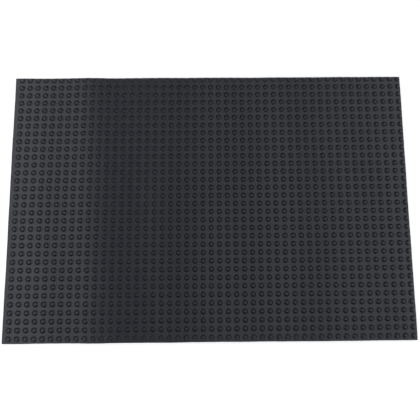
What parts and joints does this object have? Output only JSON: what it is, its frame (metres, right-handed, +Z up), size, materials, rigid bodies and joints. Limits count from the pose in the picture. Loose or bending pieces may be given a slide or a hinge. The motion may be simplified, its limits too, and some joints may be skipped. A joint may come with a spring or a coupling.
{
  "type": "door mat",
  "caption": "Rectangular black rubber door mat whose tread is a square array of low round studs that scrape shoes and drain water, lying flat on a plain underside.",
  "frame": {"origin": "on the floor under the middle of the mat's rectangle", "axes": "+X along the long side, +Y along the short side towards stud row 1, +Z up out of the studded tread"},
  "size_m": [0.914, 0.61, 0.0095],
  "materials": {
    "backing_rubber": "matt black rubber with a cloth-pressed underside",
    "tread_rubber": "matt black rubber with a faint grey bloom",
    "stud_rubber": "matt black rubber, tops polished slightly by wear"
  },
  "bodies": {
    "root": {"backing_sheet": "backing_rubber", "wear_sheet": "tread_rubber", "stud_row_01": "stud_rubber", "stud_row_02": "stud_rubber", "stud_row_03": "stud_rubber", "stud_row_04": "stud_rubber", "stud_row_05": "stud_rubber", "stud_row_06": "stud_rubber", "stud_row_07": "stud_rubber", "stud_row_08": "stud_rubber", "stud_row_09": "stud_rubber", "stud_row_10": "stud_rubber", "stud_row_11": "stud_rubber", "stud_row_12": "stud_rubber", "stud_row_13": "stud_rubber", "stud_row_14": "stud_rubber", "stud_row_15": "stud_rubber", "stud_row_16": "stud_rubber", "stud_row_17": "stud_rubber", "stud_row_18": "stud_rubber", "stud_row_19": "stud_rubber", "stud_row_20": "stud_rubber", "stud_row_21": "stud_rubber", "stud_row_22": "stud_rubber", "stud_row_23": "stud_rubber", "stud_row_24": "stud_rubber", "stud_row_25": "stud_rubber", "stud_row_26": "stud_rubber", "stud_row_27": "stud_rubber", "stud_row_28": "stud_rubber", "stud_row_29": "stud_rubber", "stud_row_30": "stud_rubber", "stud_row_31": "stud_rubber", "stud_row_32": "stud_rubber", "stud_row_33": "stud_rubber"}
  },
  "joints": []
}
